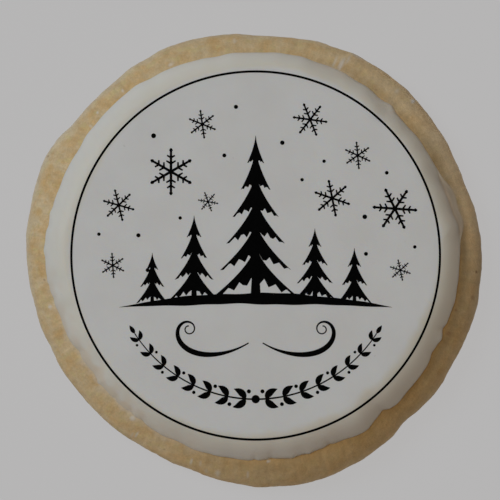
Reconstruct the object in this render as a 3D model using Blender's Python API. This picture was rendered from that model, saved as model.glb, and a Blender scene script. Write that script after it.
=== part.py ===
"""Iced sugar cookie: a hand-cut round of baked dough with a poured layer of white icing on top.

Metres, +Z up. The origin is the centre of the cookie's footprint, on the surface it rests on.
Each piece is a stack of rings round an uneven outline, joined into one closed skin.
"""

import bmesh
import bpy
import numpy as np

MM = 0.001

# Points in every ring of both pieces, and samples that find the middle of the footprint.
SEGMENTS = 144
OUTLINE_SAMPLES = 720

# Baked dough: its mean radius at the widest level, its height and how its side rounds off.
COOKIE_RADIUS = 39.5 * MM
COOKIE_HEIGHT = 8.0 * MM
WIDEST_LEVEL = 1.9 * MM
BASE_INSET = 1.7 * MM
SHOULDER_INSET = 6.2 * MM
SHOULDER_FULLNESS = 2.25
BASE_STEPS = 3
SHOULDER_STEPS = 8
DOUGH_COLOUR = (0.77, 0.59, 0.34)
DOUGH_ROUGHNESS = 0.8

# Poured icing: its mean radius, the level of its flat top and how it rolls down to its foot.
ICING_CENTRE = (-0.2 * MM, 0.45 * MM)
ICING_RADIUS = 35.35 * MM
ICING_LEVEL = 11.0 * MM
ICING_ROLL = 4.7 * MM
ROLL_FULLNESS = 1.4
ICING_FOOT = 0.35 * MM
ICING_CROWN = 0.12 * MM
ROLL_STEPS = 7
ROLL_SPACING = 1.5
RESTING_GAP = 0.3 * MM
ICING_COLOUR = (0.83, 0.82, 0.79)
ICING_ROUGHNESS = 0.5

# Rings inside the edges, as shares of the outline.
INNER_RINGS = (0.62, 0.3)

# Swells and flats of each edge: direction in degrees, rise in millimetres, half-spread in degrees.
COOKIE_SWELLS = (
    (3, 0.30, 14),
    (23, -0.40, 9),
    (60, 0.65, 19),
    (86, -0.40, 7),
    (112, 0.65, 16),
    (155, 1.05, 11),
    (172, 0.35, 9),
    (199, -0.45, 9),
    (230, -1.45, 25),
    (254, -0.60, 12),
    (285, 0.50, 15),
    (312, -0.75, 6),
    (327, -0.45, 12),
    (349, 0.25, 10),
)
ICING_SWELLS = (
    (4, 0.35, 8),
    (22, -0.35, 12),
    (45, -0.75, 10),
    (62, -0.20, 9),
    (99, -0.20, 12),
    (128, 0.35, 14),
    (178, 0.65, 13),
    (222, -1.10, 24),
    (248, -0.50, 11),
    (302, 0.45, 4.5),
    (309, -0.35, 2.5),
    (351, 0.35, 8),
)

# Fine ripples of each edge: waves round the edge, height in millimetres, phase in degrees.
COOKIE_RIPPLES = ((17, 0.07, 20), (29, 0.05, 95), (43, 0.04, 210))
ICING_RIPPLES = ((23, 0.06, 70), (37, 0.05, 160), (53, 0.03, 15))


def clear_scene():
    """Removes every object that the file starts with."""
    for thing in list(bpy.data.objects):
        bpy.data.objects.remove(thing, do_unlink=True)


def edge_radius(angle, mean, swells, ripples):
    """Radius in each direction: the mean, plus bell-shaped swells, plus sine ripples."""
    degrees = np.degrees(angle)
    radius = np.full_like(angle, mean)
    for direction, rise, spread in swells:
        away = (degrees - direction + 180) % 360 - 180
        radius = radius + rise * MM * np.exp(-((away / spread) ** 2))
    for waves, height, phase in ripples:
        radius = radius + height * MM * np.sin(waves * angle + np.radians(phase))
    return radius


def cookie_edge(angle):
    """Radius of the dough at its widest level, about the middle that it was cut round."""
    return edge_radius(angle, COOKIE_RADIUS, COOKIE_SWELLS, COOKIE_RIPPLES)


def icing_edge(angle):
    """Radius of the icing's foot, about the icing's own centre."""
    return edge_radius(angle, ICING_RADIUS, ICING_SWELLS, ICING_RIPPLES)


def cutting_centre():
    """Where the dough's middle lies once the box round its outline is centred on the origin."""
    angle = np.linspace(0, 2 * np.pi, OUTLINE_SAMPLES, endpoint=False)
    x = cookie_edge(angle) * np.cos(angle)
    y = cookie_edge(angle) * np.sin(angle)
    return -(x.min() + x.max()) / 2, -(y.min() + y.max()) / 2


def shoulder_height(inset):
    """Height of the dough at a distance in from its widest line: a superellipse quarter, then flat."""
    share = 1 - np.clip(inset / SHOULDER_INSET, 0, 1)
    rise = (1 - share**SHOULDER_FULLNESS) ** (1 / SHOULDER_FULLNESS)
    return WIDEST_LEVEL + (COOKIE_HEIGHT - WIDEST_LEVEL) * rise


def dough_top(x, y, centre):
    """Height of the dough's upper side under any point."""
    across = x - centre[0]
    along = y - centre[1]
    angle = np.arctan2(along, across) % (2 * np.pi)
    return shoulder_height(cookie_edge(angle) - np.hypot(across, along))


def round_about(centre, radius, angle):
    """The x and y of a ring with a radius in each direction about a centre."""
    return centre[0] + radius * np.cos(angle), centre[1] + radius * np.sin(angle)


def ring(x, y, height):
    """Points of one ring, at one height or at a height for each point."""
    return np.column_stack((x, y, np.broadcast_to(height, x.shape)))


def closed_skin(name, rings, low_pole, high_pole):
    """One closed mesh from rings of points, lowest first, with a fan to a pole at each end."""
    skin = bmesh.new()
    levels = [[skin.verts.new(point) for point in points] for points in rings]
    bottom = skin.verts.new(low_pole)
    top = skin.verts.new(high_pole)
    for i in range(SEGMENTS):
        j = (i + 1) % SEGMENTS
        skin.faces.new((bottom, levels[0][j], levels[0][i]))
        skin.faces.new((top, levels[-1][i], levels[-1][j]))
        for lower, upper in zip(levels, levels[1:]):
            skin.faces.new((lower[i], lower[j], upper[j], upper[i]))
    mesh = bpy.data.meshes.new(name)
    skin.to_mesh(mesh)
    skin.free()
    mesh.shade_smooth()
    thing = bpy.data.objects.new(name, mesh)
    bpy.context.scene.collection.objects.link(thing)
    return thing


def give_material(thing, name, colour, roughness):
    """A plain Principled finish for one piece."""
    finish = bpy.data.materials.new(name)
    finish.use_nodes = True
    surface = finish.node_tree.nodes["Principled BSDF"]
    surface.inputs["Base Color"].default_value = (*colour, 1)
    surface.inputs["Roughness"].default_value = roughness
    surface.inputs["Metallic"].default_value = 0
    thing.data.materials.append(finish)


def build_cookie(angle, centre):
    """The baked round: flat underneath, rounded under its widest line, then a full shoulder."""
    edge = cookie_edge(angle)
    rings = []
    for turn in np.linspace(0, np.pi / 2, BASE_STEPS, endpoint=False):
        inset = BASE_INSET * (1 - np.sin(turn))
        rings.append(ring(*round_about(centre, edge - inset, angle), WIDEST_LEVEL * (1 - np.cos(turn))))
    for turn in np.linspace(0, np.pi / 2, SHOULDER_STEPS + 1):
        inset = SHOULDER_INSET * (1 - np.cos(turn))
        rings.append(ring(*round_about(centre, edge - inset, angle), shoulder_height(inset)))
    for share in INNER_RINGS:
        rings.append(ring(*round_about(centre, edge * share, angle), COOKIE_HEIGHT))
    cookie = closed_skin("cookie", rings, (*centre, 0), (*centre, COOKIE_HEIGHT))
    give_material(cookie, "baked_dough", DOUGH_COLOUR, DOUGH_ROUGHNESS)


def build_icing(angle, centre):
    """The icing: it lies on the dough, and its top is nearly flat and rolls down at the edge."""
    edge = icing_edge(angle)
    rings = []
    under = [edge * share for share in reversed(INNER_RINGS)]
    under += [edge - ICING_ROLL, edge - ICING_ROLL / 2, edge]
    for radius in under:
        x, y = round_about(ICING_CENTRE, radius, angle)
        rings.append(ring(x, y, dough_top(x, y, centre) + RESTING_GAP))
    foot = rings[-1][:, 2] + ICING_FOOT
    for step in np.linspace(0, 1, ROLL_STEPS + 1):
        inset = step**ROLL_SPACING
        rise = (1 - (1 - inset) ** ROLL_FULLNESS) ** (1 / ROLL_FULLNESS)
        x, y = round_about(ICING_CENTRE, edge - ICING_ROLL * inset, angle)
        rings.append(ring(x, y, foot + (ICING_LEVEL - foot) * rise))
    for share in INNER_RINGS:
        x, y = round_about(ICING_CENTRE, edge * share, angle)
        rings.append(ring(x, y, ICING_LEVEL + ICING_CROWN * (1 - share**2)))
    low = (*ICING_CENTRE, COOKIE_HEIGHT + RESTING_GAP)
    high = (*ICING_CENTRE, ICING_LEVEL + ICING_CROWN)
    icing = closed_skin("icing", rings, low, high)
    give_material(icing, "white_icing", ICING_COLOUR, ICING_ROUGHNESS)


def main():
    clear_scene()
    angle = np.linspace(0, 2 * np.pi, SEGMENTS, endpoint=False)
    centre = cutting_centre()
    build_cookie(angle, centre)
    build_icing(angle, centre)


main()
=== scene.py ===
"""Iced sugar cookie: the looks of the part, laid out as an add-on and run as a script.

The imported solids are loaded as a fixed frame. The operators lay a fine baked skin over the dough,
pour the white icing on it, print a winter design on the icing and set up a plain stage.
Units are metres and +Z is up. The origin is the centre of the cookie's footprint.
"""

import math

import bpy
import numpy as np
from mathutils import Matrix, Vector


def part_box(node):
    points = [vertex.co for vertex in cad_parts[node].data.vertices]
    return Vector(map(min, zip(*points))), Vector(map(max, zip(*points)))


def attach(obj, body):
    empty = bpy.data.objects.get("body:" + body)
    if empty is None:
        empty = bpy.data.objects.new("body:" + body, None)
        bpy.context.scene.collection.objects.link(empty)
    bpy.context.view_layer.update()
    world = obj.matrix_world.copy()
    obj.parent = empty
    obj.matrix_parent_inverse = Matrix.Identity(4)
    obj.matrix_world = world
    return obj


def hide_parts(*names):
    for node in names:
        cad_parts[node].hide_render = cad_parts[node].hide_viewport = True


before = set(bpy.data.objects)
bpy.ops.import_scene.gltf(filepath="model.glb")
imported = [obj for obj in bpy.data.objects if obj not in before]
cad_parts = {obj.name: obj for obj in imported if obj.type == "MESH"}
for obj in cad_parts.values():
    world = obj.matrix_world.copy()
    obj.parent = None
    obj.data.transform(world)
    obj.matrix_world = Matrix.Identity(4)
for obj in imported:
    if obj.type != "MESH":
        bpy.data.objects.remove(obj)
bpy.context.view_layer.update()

bl_info = {
    "name": "Iced Sugar Cookie",
    "version": (1, 0, 0),
    "blender": (4, 5, 0),
    "location": "View3D > Sidebar > Cookie",
    "description": "Builds a hand-cut sugar cookie with white icing and a printed winter design",
    "category": "Add Mesh",
}

MM = 0.001

# Points round an outline and round the printed ring.
OUTLINE_SAMPLES = 720

# The dough fills the height of its solid.
DOUGH_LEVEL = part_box("cookie")[1].z

# Swells and flats of each edge: direction in degrees, rise in millimetres, half-spread in degrees.
COOKIE_SWELLS = (
    (3, 0.30, 14),
    (23, -0.40, 9),
    (60, 0.65, 19),
    (86, -0.40, 7),
    (112, 0.65, 16),
    (155, 1.05, 11),
    (172, 0.35, 9),
    (199, -0.45, 9),
    (230, -1.45, 25),
    (254, -0.60, 12),
    (285, 0.50, 15),
    (312, -0.75, 6),
    (327, -0.45, 12),
    (349, 0.25, 10),
)
ICING_SWELLS = (
    (4, 0.35, 8),
    (22, -0.35, 12),
    (45, -0.75, 10),
    (62, -0.20, 9),
    (99, -0.20, 12),
    (128, 0.35, 14),
    (178, 0.65, 13),
    (222, -1.10, 24),
    (248, -0.50, 11),
    (302, 0.45, 4.5),
    (309, -0.35, 2.5),
    (351, 0.35, 8),
)

# Small flats and corners of the cut edge, finer than its solid shows, in the same terms.
COOKIE_NICKS = (
    (15, 0.15, 6),
    (32, 0.32, 4),
    (44, 0.15, 2),
    (68, -0.18, 6),
    (89, -0.25, 3),
    (94, 0.15, 2),
    (135, -0.24, 20),
    (190, -0.32, 3),
    (214, -0.15, 4),
    (228, 0.25, 4),
    (239, -0.25, 4),
    (270, 0.32, 3),
    (279, 0.15, 2),
    (290, 0.20, 4),
    (309.5, 0.30, 2.5),
    (328, 0.42, 3.5),
    (336, 0.22, 4),
)
# Bends of the icing's edge, finer than its solid shows.
ICING_BENDS = (
    (8, 0.45, 5),
    (34, 0.12, 6),
    (43, 0.35, 5),
    (54, 0.35, 5),
    (64, 0.20, 5),
    (73, 0.12, 5),
    (82, 0.12, 4),
    (88, 0.08, 25),
    (227, 0.25, 3),
    (243.5, 0.32, 3),
    (255, 0.18, 2.5),
    (264, -0.14, 4),
    (303.5, 0.28, 2),
    (315, 0.32, 3.5),
    (324, 0.32, 3.5),
    (344, 0.10, 3),
    (353, 0.15, 2.5),
)
# Ledges of thin icing that ran out below the roll, in the same terms.
ICING_LEDGES = ((10, 1.0, 4.2), (17.6, 1.3, 4.8))
# Small nicks and drips of the icing's foot, which leave the roll above them smooth.
ICING_NICKS = (
    (24.5, 0.25, 2.5),
    (47.3, 0.50, 2.0),
    (168, 0.25, 1.2),
    (171.5, -0.25, 1.4),
    (178.5, 0.25, 1.5),
    (187, 0.15, 0.8),
    (192, -0.25, 1.2),
    (198, -0.15, 1.6),
    (209, -0.30, 1.6),
    (216.5, -0.15, 1.3),
    (219.5, 0.25, 0.7),
    (226, -0.20, 1.0),
    (232, -0.30, 1.2),
    (236, -0.20, 1.2),
    (270.5, -0.20, 0.7),
    (275, -0.18, 1.0),
    (281, 0.15, 0.8),
    (286, 0.20, 1.0),
    (292, -0.25, 1.0),
    (310, -0.30, 1.0),
    (331.5, -0.20, 1.4),
    (336.2, 0.36, 1.4),
    (339, -0.24, 1.1),
)

# Fine ripples of each edge: waves round the edge, height in millimetres, phase in degrees.
COOKIE_RIPPLES = ((17, 0.07, 20), (29, 0.05, 95), (43, 0.04, 210))
ICING_RIPPLES = ((23, 0.06, 70), (37, 0.05, 160), (53, 0.03, 15))

# Pale marks on the dough where icing has touched it: direction in degrees, distance in from the
# outline, half-length along the slope and half-width round the edge in millimetres, strength.
PALE_MARKS = (
    (44.6, 0.9, 0.45, 0.35, 1.0),
    (49.3, 1.7, 0.6, 0.22, 0.45),
    (65.6, 3.0, 1.3, 0.40, 0.60),
    (67.4, 2.9, 1.1, 0.25, 0.45),
    (64.4, 1.7, 0.9, 0.25, 0.40),
    (63.0, 0.3, 0.4, 1.2, 0.40),
    (95.0, 1.6, 0.5, 0.35, 0.35),
    (113.2, 3.6, 0.3, 0.55, 0.45),
    (128.0, 2.6, 0.3, 0.22, 0.55),
    (136.9, 2.35, 0.22, 0.24, 0.75),
    (141.0, 3.1, 0.4, 0.3, 0.35),
    (193.5, 2.7, 0.35, 0.35, 0.70),
    (233.0, 3.4, 0.5, 0.5, 0.70),
    (236.4, 1.3, 0.6, 0.18, 0.60),
    (235.6, 0.9, 0.5, 0.14, 0.40),
    (252.9, 1.4, 0.55, 0.16, 0.65),
    (255.6, 1.7, 0.5, 0.16, 0.30),
    (257.5, 0.8, 0.35, 0.35, 0.35),
    (260.5, 1.0, 0.5, 0.4, 0.45),
    (268.6, 2.0, 0.6, 0.20, 0.40),
    (274.2, 4.55, 0.3, 0.25, 0.70),
)

# Browned freckles in the dough, in the same terms.
FRECKLES = (
    (28.8, 1.0, 0.14, 0.14, 0.45),
    (28.2, 1.5, 0.14, 0.14, 0.55),
    (-3.6, 1.1, 0.22, 0.19, 0.90),
    (-10.2, 1.3, 0.40, 0.35, 0.45),
    (-14.6, 3.6, 0.20, 0.16, 0.85),
    (-15.7, 1.0, 0.14, 0.14, 0.60),
    (-18.2, 2.6, 0.16, 0.14, 0.60),
    (-21.2, 3.4, 0.50, 0.40, 0.45),
    (54.0, 3.9, 0.16, 0.14, 0.45),
    (153.4, 0.5, 0.16, 0.20, 0.60),
    (178.8, 2.6, 0.14, 0.16, 0.35),
    (182.1, 0.8, 0.14, 0.16, 0.30),
    (186.1, 2.8, 0.18, 0.18, 0.60),
    (245.0, 1.4, 0.14, 0.14, 0.40),
)

# Golden patches of the crust, in the same terms.
GOLDEN_PATCHES = (
    (138.3, 1.7, 0.50, 0.60, 0.45),
    (143.1, 2.7, 0.45, 0.80, 0.50),
    (153.4, 3.4, 0.35, 0.40, 0.60),
    (156.0, 1.9, 0.50, 0.85, 0.70),
    (160.3, 1.6, 0.30, 0.70, 0.45),
    (167.8, 1.9, 0.60, 0.85, 0.70),
    (183.9, 1.2, 0.35, 1.00, 0.50),
    (188.8, 2.4, 0.50, 0.50, 0.60),
    (196.8, 3.6, 0.50, 0.50, 0.40),
    (198.0, 1.1, 0.40, 1.40, 0.35),
    (208.7, 3.3, 0.55, 0.90, 0.50),
    (214.5, 4.0, 0.45, 0.70, 0.50),
    (218.4, 3.2, 0.40, 0.50, 0.40),
)

# The printed design, in millimetres from its centre, +Y to its top.
# Snowflakes: across, up, size from tip to tip, turn in degrees.
SNOWFLAKES = (
    (-9.2, 22.6, 4.8, 8),
    (-14.6, 14.4, 7.8, 0),
    (-23.6, 8.6, 5.4, 14),
    (-8.2, 9.2, 3.4, 20),
    (-24.6, -1.8, 4.2, 4),
    (9.4, 23.4, 5.8, 22),
    (17.6, 17.2, 4.6, 5),
    (13.2, 9.8, 6.2, 11),
    (24.0, 8.0, 7.4, 26),
    (24.9, -2.6, 3.6, 12),
)
# Falling dots of snow: across, up, radius.
SNOW_DOTS = (
    (-17.6, 20.6, 0.42),
    (-20.2, 3.4, 0.36),
    (-5.4, 17.2, 0.34),
    (-13.0, 6.4, 0.30),
    (-27.0, 3.6, 0.30),
    (-3.4, 25.6, 0.36),
    (4.6, 19.4, 0.38),
    (11.8, 16.2, 0.30),
    (18.8, 6.6, 0.40),
    (8.0, 13.0, 0.30),
    (22.6, 14.2, 0.32),
    (27.4, 1.4, 0.30),
    (19.0, 0.2, 0.34),
    (-18.6, -2.6, 0.34),
)
# Firs: across, foot, height, half-width, number of tiers.
FIR_TREES = (
    (0.0, -7.4, 28.0, 7.2, 6),
    (-10.6, -7.8, 14.6, 4.4, 4),
    (10.2, -7.8, 12.4, 4.0, 4),
    (-17.8, -8.2, 8.6, 2.9, 3),
    (17.0, -8.2, 9.4, 3.0, 3),
)


def length(name, description, millimetres):
    """A size that a user can change, given in millimetres and kept in metres."""
    return bpy.props.FloatProperty(
        name=name,
        description=description,
        default=millimetres * MM,
        precision=5,
        unit="LENGTH",
        subtype="DISTANCE",
    )


def share(name, description, value):
    """A share from 0 to 1 that a user can change."""
    return bpy.props.FloatProperty(
        name=name, description=description, default=value, min=0, max=1, subtype="FACTOR"
    )


def tint(name, description, value):
    """A colour that a user can change, as linear red, green and blue."""
    return bpy.props.FloatVectorProperty(
        name=name, description=description, default=value, min=0, max=1, size=3, subtype="COLOR"
    )


def middle(description, across, up):
    """A middle on the cookie that a user can move, given in millimetres and kept in metres."""
    return bpy.props.FloatVectorProperty(
        name="Centre",
        description=description,
        default=(across * MM, up * MM),
        size=2,
        precision=5,
        unit="LENGTH",
        subtype="TRANSLATION",
    )


class DoughSettings(bpy.types.PropertyGroup):
    """Sizes and colours of the baked dough."""

    radius: length("Radius", "Mean radius at the widest level", 39.48)
    widest_level: length("Widest Level", "Height at which the outline is widest", 1.9)
    base_inset: length("Base Inset", "How far the flat underside stays in from the outline", 1.7)
    shoulder_inset: length("Shoulder Inset", "Width of the rounded shoulder, seen from above", 6.2)
    lump_height: length("Lumps", "Height of the soft lumps in the baked surface", 0.06)
    grain_height: length("Grain", "Height of the fine grain in the baked surface", 0.015)
    pale: tint("Pale Crumb", "Colour of the palest dough", (0.79, 0.61, 0.37))
    golden: tint("Golden Crust", "Colour of the golden patches", (0.73, 0.47, 0.205))
    browned: tint("Browned Base", "Colour of the underside, which lay on the tray", (0.50, 0.27, 0.09))
    roughness: share("Roughness", "Roughness of the crust", 0.78)


class IcingSettings(bpy.types.PropertyGroup):
    """Sizes and colours of the poured icing."""

    centre: middle("Where the icing is centred on the cookie", -0.2, 0.45)
    radius: length("Radius", "Mean radius at the foot", 35.42)
    level: length("Level", "Height of the flat top", 11.0)
    roll: length("Roll", "Width of the rolled edge where it is narrowest", 3.2)
    foot: length("Foot", "Width of the blunt foot of the rolled edge", 0.35)
    lip: length("Lip", "Rise of the soft lip just inside the roll", 0.03)
    ripple: length("Ripple", "Height of the faint unevenness of the flat top", 0.012)
    sink: length("Sink", "How far the icing's underside lies in the dough", 0.12)
    white: tint("White", "Colour of the thick icing", (0.84, 0.829, 0.815))
    thin: tint("Thin Edge", "Colour where thin icing lets the dough show through", (0.76, 0.62, 0.47))
    roughness: share("Roughness", "Roughness of the dried surface", 0.5)


class PrintSettings(bpy.types.PropertyGroup):
    """Sizes and colour of the print on the icing."""

    centre: middle("Where the print is centred on the cookie", 0.306, 0.408)
    ring_radius: length("Ring Radius", "Radius of the ring line round the design", 31.735)
    line: length("Line Width", "Width of the ring line", 0.388)
    lift: length("Lift", "How far the ink stands above the icing", 0.015)
    depth: length("Depth", "Thickness of the ink, most of it soaked into the icing", 0.09)
    ink: tint("Ink", "Colour of the black ink", (0.0015, 0.0015, 0.0015))


class StageSettings(bpy.types.PropertyGroup):
    """The floor, the lights and the camera."""

    field: length("Field", "Width of the view at the print", 86.1)
    distance: length("Camera Distance", "From the camera to the print", 600)
    tilt: bpy.props.FloatProperty(
        name="Tilt",
        description="How far the camera leans from straight above towards the front",
        default=math.radians(3),
        unit="ROTATION",
        subtype="ANGLE",
    )
    floor: tint("Floor", "Colour of the floor", (0.06, 0.06, 0.06))
    floor_glow: tint(
        "Floor Glow", "Light that the floor gives off, which keeps shadows faint", (0.440, 0.435, 0.435)
    )
    key: tint("Key Light", "Colour of the light from the upper left", (0.72, 0.855, 1.0))
    key_power: bpy.props.FloatProperty(
        name="Key Power", description="Power of the key light in watts", default=3.36, unit="POWER"
    )
    overhead: tint("Overhead Light", "Colour of the wide light from above", (1.0, 0.825, 0.60))
    overhead_power: bpy.props.FloatProperty(
        name="Overhead Power", description="Power of the overhead light in watts", default=4.2, unit="POWER"
    )
    room_strength: bpy.props.FloatProperty(
        name="Room Strength", description="Strength of the grey light from all round", default=0.03, min=0
    )


def degrees_from(angle, direction):
    """How far each angle lies from a direction, in degrees and at most half a turn either way."""
    return (np.degrees(angle) - direction + 180) % 360 - 180


def bell(angle, direction, spread):
    """A bell-shaped share of 1 in one direction, falling off over a half-spread, both in degrees."""
    return np.exp(-((degrees_from(angle, direction) / spread) ** 2))


def edge_radius(angle, mean, swells, ripples):
    """Radius in each direction: the mean, plus bell-shaped swells, plus sine ripples."""
    radius = np.full(angle.shape, float(mean))
    for direction, rise, spread in swells:
        radius = radius + rise * MM * bell(angle, direction, spread)
    for waves, height, phase in ripples:
        radius = radius + height * MM * np.sin(waves * angle + np.radians(phase))
    return radius


def round_angles(count):
    """Evenly spaced directions round a circle."""
    return np.linspace(0, 2 * np.pi, count, endpoint=False)


def cookie_edge(angle, dough):
    """Radius of the dough at its widest level, about the middle that it was cut round."""
    return edge_radius(angle, dough.radius, COOKIE_SWELLS + COOKIE_NICKS, COOKIE_RIPPLES)


def icing_edge(angle, icing):
    """Radius of the icing's smooth edge where it meets the dough, about the icing's own centre."""
    swells = ICING_SWELLS + ICING_BENDS + ICING_LEDGES
    return edge_radius(angle, icing.radius, swells, ICING_RIPPLES)


def icing_ledge(angle):
    """Width of the ledge between the foot of the roll and the icing's edge."""
    return edge_radius(angle, 0, ICING_LEDGES, ())


def icing_foot(angle, icing):
    """Radius of the icing's thin foot: the smooth edge with its nicks and drips."""
    return icing_edge(angle, icing) + edge_radius(angle, 0, ICING_NICKS, ())


def cutting_centre(dough):
    """Where the dough's middle lies once the box round its solid's outline is centred on the origin."""
    angle = round_angles(OUTLINE_SAMPLES)
    edge = edge_radius(angle, dough.radius, COOKIE_SWELLS, COOKIE_RIPPLES)
    x = edge * np.cos(angle)
    y = edge * np.sin(angle)
    return np.array((-(x.min() + x.max()) / 2, -(y.min() + y.max()) / 2))


def polar(x, y, centre):
    """Direction from 0 to a full turn, and distance, of points about a centre."""
    across = x - centre[0]
    along = y - centre[1]
    return np.arctan2(along, across) % (2 * np.pi), np.hypot(across, along)


# The exponents of the rounded shapes: the dough's shoulder, the icing's foot and its roll.
SHOULDER_FULLNESS = 2.25
FOOT_FULLNESS = 2
ROLL_POWER = 2.3

# How much of the icing's height its blunt foot makes, how much of that a thin stretch lacks, and
# how far up the roll a nick reaches. A thin stretch starts with the least share of its rise and gains
# the rest over a distance, which a ledge shortens by so many times its width. On a ledge of full
# width the foot is twice as wide and lacks nothing.
FOOT_SHARE = 0.07
FOOT_LACK = 0.9
NICK_REACH = 0.9 * MM
FILM_LEAST = 0.2
FILM_EASE = 3.4 * MM
LEDGE_EASE = 2.3
FULL_LEDGE = 0.5 * MM


def quarter(share_in, fullness):
    """Rise of a superellipse quarter, from 0 at its foot, where it is upright, to a level 1."""
    remaining = 1 - np.clip(share_in, 0, 1)
    return (1 - remaining**fullness) ** (1 / fullness)


def shoulder_level(inset, dough):
    """Height of the dough at a distance in from its widest line."""
    rise = quarter(inset / dough.shoulder_inset, SHOULDER_FULLNESS)
    return dough.widest_level + (DOUGH_LEVEL - dough.widest_level) * rise


def dough_surface(x, y, dough):
    """Height of the dough's upper side under any point."""
    angle, distance = polar(x, y, cutting_centre(dough))
    return shoulder_level(cookie_edge(angle, dough) - distance, dough)


# Where the roll is wider: direction and half-spread in degrees, added width in millimetres.
ROLL_WIDENINGS = ((298, 62, 2.3), (157, 38, 1.2), (332, 20, 0.4))

# Where the lip lies and how wide it is, in widths of the roll, and the waves of the flat top.
LIP_PLACE = 1.15
LIP_SPREAD = 0.4
RIPPLE_LENGTH = 11 * MM


def roll_width(angle, icing):
    """Width of the rolled edge in each direction."""
    added = sum(width * MM * bell(angle, direction, spread) for direction, spread, width in ROLL_WIDENINGS)
    return icing.roll + added


def icing_surface(x, y, icing, dough):
    """Height of the icing's upper side.

    A blunt foot, which is a superellipse quarter, and a roll, which falls as a power of the distance
    from its inner end, rise together to the flat level. A bell-shaped lip follows just inside them,
    and long soft waves make the flat top faintly uneven. The distance in from the foot is stretched
    or squeezed close to it, so that a nick or a drip doesn't reach up the roll. A thin stretch and a
    ledge follow the dough's own surface. A thin stretch rises slowly at first and then ever steeper,
    and where there is a ledge, the roll starts at its inner side.
    """
    angle, distance = polar(x, y, icing.centre)
    foot_edge = icing_foot(angle, icing)
    nick = foot_edge - icing_edge(angle, icing)
    bare_inset = foot_edge - distance
    inset = bare_inset - nick * (1 - np.exp(-((bare_inset / NICK_REACH) ** 2)))
    foot_x = icing.centre[0] + foot_edge * np.cos(angle)
    foot_y = icing.centre[1] + foot_edge * np.sin(angle)
    foot = dough_surface(foot_x, foot_y, dough)
    roll = roll_width(angle, icing)
    thin = np.clip(film_strength(angle), 0, 1)
    ledge = icing_ledge(angle)
    on_ledge = np.clip(ledge / FULL_LEDGE, 0, 1)
    blunt = FOOT_SHARE * (1 - FOOT_LACK * thin * (1 - on_ledge))
    above = inset - ledge
    rolled = 1 - (1 - np.clip(above / roll, 0, 1)) ** ROLL_POWER
    eased = np.clip(above / (FILM_EASE - LEDGE_EASE * ledge), 0, 1)
    rolled = rolled * (1 - thin * (1 - FILM_LEAST) * (1 - eased))
    foot = foot + np.maximum(thin, on_ledge) * np.clip(dough_surface(x, y, dough) - foot, 0, None)
    foot_width = icing.foot * (1 + on_ledge)
    rise = blunt * quarter(inset / foot_width, FOOT_FULLNESS) + (1 - blunt) * rolled
    lip = icing.lip * np.exp(-(((above - LIP_PLACE * roll) / (LIP_SPREAD * roll)) ** 2))
    spots = np.stack((x, y, np.zeros_like(x)), axis=-1)
    ripple = icing.ripple * soft_field(spots, RIPPLE_LENGTH, seed=7)
    return foot + (icing.level - foot) * rise + (lip + ripple) * rise


# The waves that are summed into a random field: how many there are, and the shortest and the longest
# as shares of the field's wavelength.
FIELD_WAVES = 24
FIELD_SHORTEST = 0.7
FIELD_LONGEST = 1.4


def soft_field(points, wavelength, seed):
    """A smooth random field of about -1 to 1: sine waves of like length in random directions, summed."""
    draw = np.random.default_rng(seed)
    directions = draw.normal(size=(FIELD_WAVES, 3))
    directions /= np.linalg.norm(directions, axis=1, keepdims=True)
    lengths = wavelength * draw.uniform(FIELD_SHORTEST, FIELD_LONGEST, (FIELD_WAVES, 1))
    phases = draw.uniform(0, 2 * np.pi, FIELD_WAVES)
    waves = np.sin(points @ (2 * np.pi * directions / lengths).T + phases)
    return waves.sum(axis=-1) / np.sqrt(FIELD_WAVES)


def grid_normals(rings):
    """Outward direction at each point of stacked rings, from the steps to the neighbours both ways."""
    around = np.roll(rings, -1, axis=1) - np.roll(rings, 1, axis=1)
    up = np.gradient(rings, axis=0)
    normals = np.cross(around, up)
    return normals / np.linalg.norm(normals, axis=-1, keepdims=True)


def stack_rings(centre, radius, level, angle):
    """Points of stacked rings about a centre, from a radius and a level for each ring and direction."""
    x = centre[0] + radius * np.cos(angle)
    y = centre[1] + radius * np.sin(angle)
    return np.stack((x, y, np.broadcast_to(level, x.shape)), axis=-1)


def skin_object(name, rings, low_pole, high_pole):
    """A closed skin over stacked rings, lowest first: quads between rings and a fan at each pole."""
    levels, count = rings.shape[:2]
    points = np.concatenate((rings.reshape(-1, 3), [low_pole, high_pole]))
    here = np.arange(count)
    onward = (here + 1) % count
    lower = np.arange(levels - 1)[:, None] * count
    upper = lower + count
    quads = np.stack((lower + here, lower + onward, upper + onward, upper + here), axis=-1)
    last = (levels - 1) * count
    low_fan = np.stack((np.full(count, levels * count), onward, here), axis=-1)
    high_fan = np.stack((np.full(count, levels * count + 1), last + here, last + onward), axis=-1)
    faces = quads.reshape(-1, 4).tolist() + low_fan.tolist() + high_fan.tolist()
    return mesh_object(name, points, faces)


def mesh_object(name, points, faces):
    """A smooth-shaded object at the origin, with its place in its mesh."""
    mesh = bpy.data.meshes.new(name)
    mesh.from_pydata(points, [], faces)
    mesh.shade_smooth()
    return add_object(name, mesh)


def add_object(name, data):
    """An object with the given data, at the origin of the scene."""
    thing = bpy.data.objects.new(name, data)
    bpy.context.scene.collection.objects.link(thing)
    return thing


def keep_values(thing, name, rings_values, low=0, high=0):
    """Stores a number for each point of a skin, ring by ring and then its low and its high pole."""
    values = np.append(rings_values.ravel(), (low, high))
    attribute = thing.data.attributes.new(name, "FLOAT", "POINT")
    attribute.data.foreach_set("value", values.astype(np.float32))


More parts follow.
